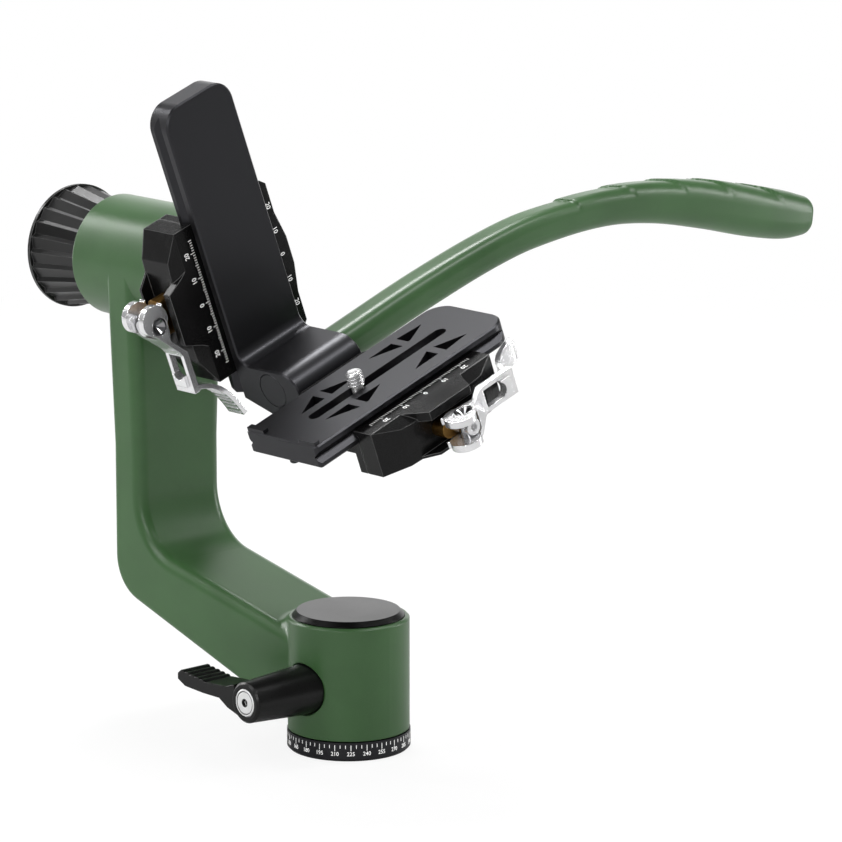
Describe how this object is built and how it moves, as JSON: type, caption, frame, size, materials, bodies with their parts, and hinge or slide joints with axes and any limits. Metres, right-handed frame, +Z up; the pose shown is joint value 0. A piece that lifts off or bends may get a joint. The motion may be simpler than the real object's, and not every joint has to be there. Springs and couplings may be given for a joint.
{
  "type": "gimbal tripod head",
  "caption": "Side-arm gimbal head for a long lens: panning base, bent arm, tilt hub with knob, two lever clamps, bracket, lens plate and a curved panning handle.",
  "frame": {"origin": "centre of the base's bottom face, on the pan axis, at the mouth of the tripod thread", "axes": "+X along the tilt axis from the arm towards the lens, +Y where the lens points, +Z up the pan axis"},
  "size_m": [0.2091, 0.3267, 0.239],
  "materials": {
    "green_paint": "fine satin paint",
    "black_anodised": "black anodised, satin",
    "bright_metal": "bead blasted, clear anodised",
    "brass": "turned",
    "steel_inside": "machined",
    "plastic_inside": "matt"
  },
  "bodies": {
    "base": {"base_plate": "black_anodised", "tripod_thread_bush": "bright_metal", "pan_spindle": "steel_inside", "base_screws": "steel_inside", "pan_washer": "steel_inside", "pan_nut": "steel_inside"},
    "yoke": {"main_arm": "green_paint", "base_cap": "black_anodised", "pan_thrust_ring": "plastic_inside", "pan_bearing_sleeve": "brass", "tilt_bearings": "steel_inside", "tilt_friction_disc": "plastic_inside"},
    "pan_lock": {"pan_lock_lever": "black_anodised", "pan_lock_stud": "steel_inside", "pan_lock_screw": "bright_metal"},
    "pad": {"lock_pad": "plastic_inside"},
    "knob": {"tilt_knob": "black_anodised", "knob_insert": "brass", "knob_cap": "black_anodised"},
    "cradle": {"tilt_spindle": "steel_inside", "bearing_spacer": "steel_inside", "upper_clamp_body": "black_anodised", "upper_clamp_screws": "steel_inside", "upper_draw_screw": "bright_metal", "upper_lever_barrel": "bright_metal", "upper_guide_pins": "steel_inside"},
    "upper_jaw": {"upper_clamp_jaw": "black_anodised", "upper_brass_shoe": "brass", "upper_jaw_springs": "steel_inside"},
    "upper_lever": {"upper_clamp_lever": "bright_metal"},
    "upper_catch": {"upper_lever_catch": "bright_metal"},
    "bracket": {"l_bracket": "black_anodised", "bracket_plug": "black_anodised", "handle_bolt": "steel_inside", "handle": "green_paint", "lower_clamp_body": "black_anodised", "lower_clamp_screws": "steel_inside", "lower_draw_screw": "bright_metal", "lower_lever_barrel": "bright_metal", "lower_guide_pins": "steel_inside"},
    "lower_jaw": {"lower_clamp_jaw": "black_anodised", "lower_brass_shoe": "brass", "lower_jaw_springs": "steel_inside"},
    "lower_lever": {"lower_clamp_lever": "bright_metal"},
    "lower_catch": {"lower_lever_catch": "bright_metal"},
    "lens_slide": {"lens_plate": "black_anodised", "plate_stop_pins": "steel_inside"},
    "screw_slide": {"screw_slide_washer": "plastic_inside"},
    "camera_screw": {"camera_screw": "bright_metal"}
  },
  "joints": [
    {"name": "pan_turn", "type": "hinge", "parent": "base", "child": "yoke", "pos_m": [0, 0, 0.02], "axis": [0, 0, 1], "continuous": true},
    {"name": "pan_lock_turn", "type": "hinge", "parent": "yoke", "child": "pan_lock", "pos_m": [0, -0.03, 0.025], "axis": [0, 1, 0], "range_deg": [0, 100]},
    {"name": "lock_pad_slide", "type": "slide", "parent": "yoke", "child": "pad", "axis": [0, -1, 0], "range_m": [0, 0.0003]},
    {"name": "knob_turn", "type": "hinge", "parent": "yoke", "child": "knob", "pos_m": [-0.14, 0, 0.16475], "axis": [-1, 0, 0], "range_deg": [0, 270]},
    {"name": "tilt_turn", "type": "hinge", "parent": "yoke", "child": "cradle", "pos_m": [0, 0, 0.16475], "axis": [1, 0, 0], "range_deg": [-55, 90]},
    {"name": "upper_lever_turn", "type": "hinge", "parent": "cradle", "child": "upper_lever", "pos_m": [-0.062, -0.03663, 0.15108], "axis": [-1, 0, 0], "range_deg": [0, 120]},
    {"name": "upper_jaw_slide", "type": "slide", "parent": "cradle", "child": "upper_jaw", "axis": [0, -0.9369, -0.3496], "range_m": [0, 0.0009]},
    {"name": "upper_catch_slide", "type": "slide", "parent": "upper_lever", "child": "upper_catch", "axis": [0, -0.3496, 0.9369], "range_m": [0, 0.0025], "stiffness_N_per_m": 400, "springref_m": -0.001},
    {"name": "bracket_slide", "type": "slide", "parent": "cradle", "child": "bracket", "axis": [0, -0.3496, 0.9369], "range_m": [-0.03, 0.018]},
    {"name": "lower_lever_turn", "type": "hinge", "parent": "bracket", "child": "lower_lever", "pos_m": [0.0468, 0.01318, 0.12943], "axis": [0, 0.3496, -0.9369], "range_deg": [0, 120]},
    {"name": "lower_jaw_slide", "type": "slide", "parent": "bracket", "child": "lower_jaw", "axis": [1, 0, 0], "range_m": [0, 0.0009]},
    {"name": "lower_catch_slide", "type": "slide", "parent": "lower_lever", "child": "lower_catch", "axis": [0, -0.9369, -0.3496], "range_m": [0, 0.0025], "stiffness_N_per_m": 400, "springref_m": -0.001},
    {"name": "lens_plate_slide", "type": "slide", "parent": "bracket", "child": "lens_slide", "axis": [0, 0.9369, 0.3496], "range_m": [-0.022, 0.022]},
    {"name": "camera_screw_slide", "type": "slide", "parent": "lens_slide", "child": "screw_slide", "axis": [0, 0.9369, 0.3496], "range_m": [-0.018, 0.039]},
    {"name": "camera_screw_turn", "type": "hinge", "parent": "screw_slide", "child": "camera_screw", "pos_m": [0.005, 0.00194, 0.12951], "axis": [0, -0.3496, 0.9369], "continuous": true}
  ],
  "couplings": [
    {"joint": "lock_pad_slide", "follows": "pan_lock_turn", "m_per_rad": 0.00017017},
    {"joint": "upper_jaw_slide", "follows": "upper_lever_turn", "m_per_rad": 0.00042757},
    {"joint": "lower_jaw_slide", "follows": "lower_lever_turn", "m_per_rad": 0.00042757}
  ]
}
